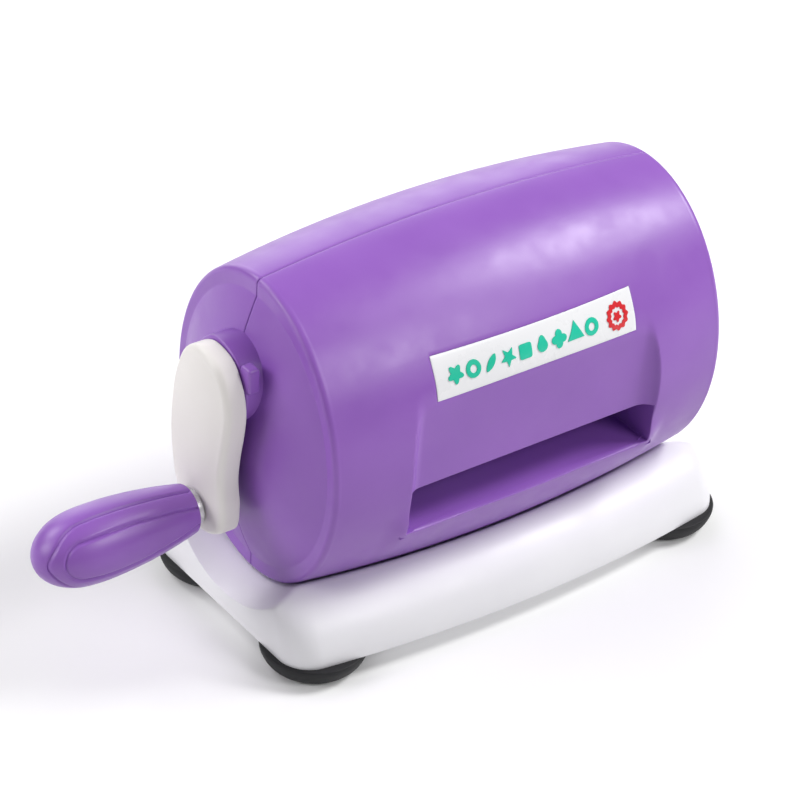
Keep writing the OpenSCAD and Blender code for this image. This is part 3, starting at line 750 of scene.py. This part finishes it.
def bump(tree, shader, layers):
    """Layers of (height, depth in millimetres), one on another."""
    last = None
    for value, depth in layers:
        made = tree.nodes.new("ShaderNodeBump")
        made.inputs["Distance"].default_value = depth * MM
        made.inputs["Strength"].default_value = 1.0
        tree.links.new(value, made.inputs["Height"])
        if last:
            tree.links.new(last, made.inputs["Normal"])
        last = made.outputs["Normal"]
    tree.links.new(last, shader.inputs["Normal"])


def moulded(name, low, high, roughness, drift=0.06, grain=0.012, grain_scale=900):
    """Moulded plastic: colour drift over some 40 mm, a satin roughness that varies, and a fine grain."""
    made, tree, shader = material(name, roughness)
    tree.links.new(ramp(tree, noise(tree, 26, 4), low, high), shader.inputs["Base Color"])
    tree.links.new(spread(tree, noise(tree, 90, 5), roughness - drift, roughness + drift),
                   shader.inputs["Roughness"])
    bump(tree, shader, [(noise(tree, grain_scale, 3), grain), (noise(tree, 22, 2), 0.05)])
    return made


def turned(name, low, high, roughness, rings=2600, depth=0.01, metallic=1.0):
    """Turned or ground metal: fine lines round the X axis, and a duller drift where hands and oil dull it."""
    made, tree, shader = material(name, roughness, metallic)
    tree.links.new(ramp(tree, noise(tree, 60, 4), low, high), shader.inputs["Base Color"])
    tree.links.new(spread(tree, noise(tree, 140, 4), roughness - 0.07, roughness + 0.09),
                   shader.inputs["Roughness"])
    bump(tree, shader, [(noise(tree, rings, 2, (1, 0.03, 0.03)), depth)])
    return made


# %% The finishes
PURPLE_LOW, PURPLE_HIGH = (0.255, 0.098, 0.455), (0.285, 0.112, 0.495)
purple = moulded("purple_satin", PURPLE_LOW, PURPLE_HIGH, 0.36)
white = moulded("white_satin", (0.80, 0.79, 0.83), (0.84, 0.83, 0.865), 0.42, grain=0.008)
warm_white = moulded("arm_off_white", (0.78, 0.745, 0.725), (0.82, 0.79, 0.77), 0.45, grain=0.008)
rubber = moulded("black_rubber", (0.016, 0.016, 0.018), (0.026, 0.026, 0.028), 0.60, grain=0.03,
                 grain_scale=1400)
rubber.node_tree.nodes["Principled BSDF"].inputs["Specular IOR Level"].default_value = 0.25
label_white = moulded("label_gloss", (0.82, 0.82, 0.845), (0.86, 0.86, 0.88), 0.30, grain=0.003)
teal_ink = moulded("teal_ink", (0.0, 0.50, 0.32), (0.002, 0.57, 0.38), 0.40, grain=0.004)
red_ink = moulded("red_ink", (0.62, 0.012, 0.02), (0.70, 0.02, 0.03), 0.34, grain=0.004)
nylon = moulded("nylon_natural", (0.62, 0.59, 0.50), (0.70, 0.67, 0.58), 0.48, grain=0.01)
plate_steel = turned("plate_zinc", (0.50, 0.51, 0.53), (0.62, 0.63, 0.66), 0.38, 400, 0.015)
roller_steel = turned("roller_ground", (0.56, 0.57, 0.58), (0.66, 0.67, 0.68), 0.26)
screw_steel = turned("screw_zinc", (0.60, 0.60, 0.62), (0.72, 0.72, 0.74), 0.30, 1800, 0.02)
bronze = turned("bush_bronze", (0.42, 0.25, 0.10), (0.52, 0.32, 0.14), 0.36)

for made, finish in [(front, purple), (rear, purple), (collar, purple), (grip, purple), (base, white),
                     (arm, warm_white), (label, label_white), (teal_print, teal_ink), (red_print, red_ink)]:
    made.data.materials.clear()
    made.data.materials.append(finish)
for made in bpy.data.objects:
    if made.name.startswith("foot_pad_"):
        made.data.materials.append(rubber)

by_slot = {"frame_steel": plate_steel, "roller_steel": roller_steel, "fastener_steel": screw_steel,
           "bronze": bronze, "nylon": nylon, "white_plastic": white, "purple_plastic": purple,
           "arm_plastic": warm_white, "rubber": rubber, "label": label_white}
slot_of = {part["node"]: part["material_slot"] for part in frame["record"]["subparts"]}
for name, node in nodes.items():
    finish = by_slot[slot_of[name]]
    if node.material_slots:
        for holder in node.material_slots:
            holder.material = finish
    else:
        node.data.materials.append(finish)
print("finishes:", len(set(slot_of.values())), "slots on", len(slot_of), "CAD nodes")

# %% [markdown]
# ## Floor, light and camera
# The machine stands on a white table in a light tent. The room is dim above and bright below, as the
# table throws light back up. A key light at the right front draws the sheen down the barrel's shoulder,
# a second one at the front carries it on to the left, and three soft ones fill the left, the top and back.

# %% Floor
floor_mesh = bpy.data.meshes.new("floor")
side = 6.0
floor_mesh.from_pydata([(-side, -side, 0), (side, -side, 0), (side, side, 0), (-side, side, 0)], [],
                       [(0, 1, 2, 3)])
floor = bpy.data.objects.new("floor", floor_mesh)
bpy.context.scene.collection.objects.link(floor)
floor_paint, tree, shader = material("floor_white", 0.9)
shader.inputs["Base Color"].default_value = (0.93, 0.93, 0.93, 1)
shader.inputs["Specular IOR Level"].default_value = 0.1
floor_mesh.materials.append(floor_paint)
floor.visible_diffuse = False

# %% Lights
world = bpy.data.worlds.new("studio")
world.use_nodes = True
sky = world.node_tree
height = sky.nodes.new("ShaderNodeSeparateXYZ")
sky.links.new(sky.nodes.new("ShaderNodeTexCoord").outputs["Generated"], height.inputs[0])
rise = sky.nodes.new("ShaderNodeMapRange")
rise.inputs["From Min"].default_value, rise.inputs["From Max"].default_value = -0.35, 0.05
sky.links.new(height.outputs["Z"], rise.inputs["Value"])
room = ramp(sky, rise.outputs["Result"], (0.94,) * 3, (0.20,) * 3, (0.0, 1.0))
sky.links.new(room, sky.nodes["Background"].inputs["Color"])
sky.nodes["Background"].inputs["Strength"].default_value = 1.0
bpy.context.scene.world = world
bpy.context.scene.view_settings.view_transform = "Standard"


def soft_light(name, place, target, size, power, colour=(1, 1, 1)):
    """A square area light that looks at a point."""
    data = bpy.data.lights.new(name, "AREA")
    data.shape, data.size, data.energy, data.color = "SQUARE", size, power, colour
    lamp = bpy.data.objects.new(name, data)
    bpy.context.scene.collection.objects.link(lamp)
    back = (np.array(place, float) - target)
    back /= np.linalg.norm(back)
    right = np.cross([0, 0, 1], back)
    right /= np.linalg.norm(right)
    up = np.cross(back, right)
    lamp.matrix_world = Matrix([[right[i], up[i], back[i], place[i]] for i in range(3)] + [[0, 0, 0, 1]])
    return lamp


soft_light("key", (0.92, -0.40, 1.12), (0, 0, 0.08), 0.5, 15)
soft_light("front", (0.45, -1.20, 0.95), (0, 0, 0.08), 0.55, 8)
soft_light("left", (-1.45, 0.50, 0.85), (0, 0, 0.08), 0.8, 13)
soft_light("top", (-0.60, 1.00, 1.10), (0, 0, 0.08), 0.6, 8)
soft_light("back", (0.8, 1.9, 0.75), (0, 0, 0.08), 1.5, 14)

# %% Camera
# The camera looks down at the machine from the front left, through a long lens, turned by a few degrees.
camera_data = bpy.data.cameras.new("camera")
camera_data.sensor_width = 36
camera_data.lens = 141.07
camera = bpy.data.objects.new("camera", camera_data)
bpy.context.scene.collection.objects.link(camera)
look_back = np.array([-0.50753888, -0.6623368, 0.55110276])
look_right = np.array([0.81034178, -0.58429927, 0.04405176])
look_up = np.cross(look_back, look_right)
stand = np.array([-0.61376, -0.77111, 0.71473])
camera.matrix_world = Matrix([[look_right[i], look_up[i], look_back[i], stand[i]] for i in range(3)]
                             + [[0, 0, 0, 1]])
bpy.context.scene.camera = camera
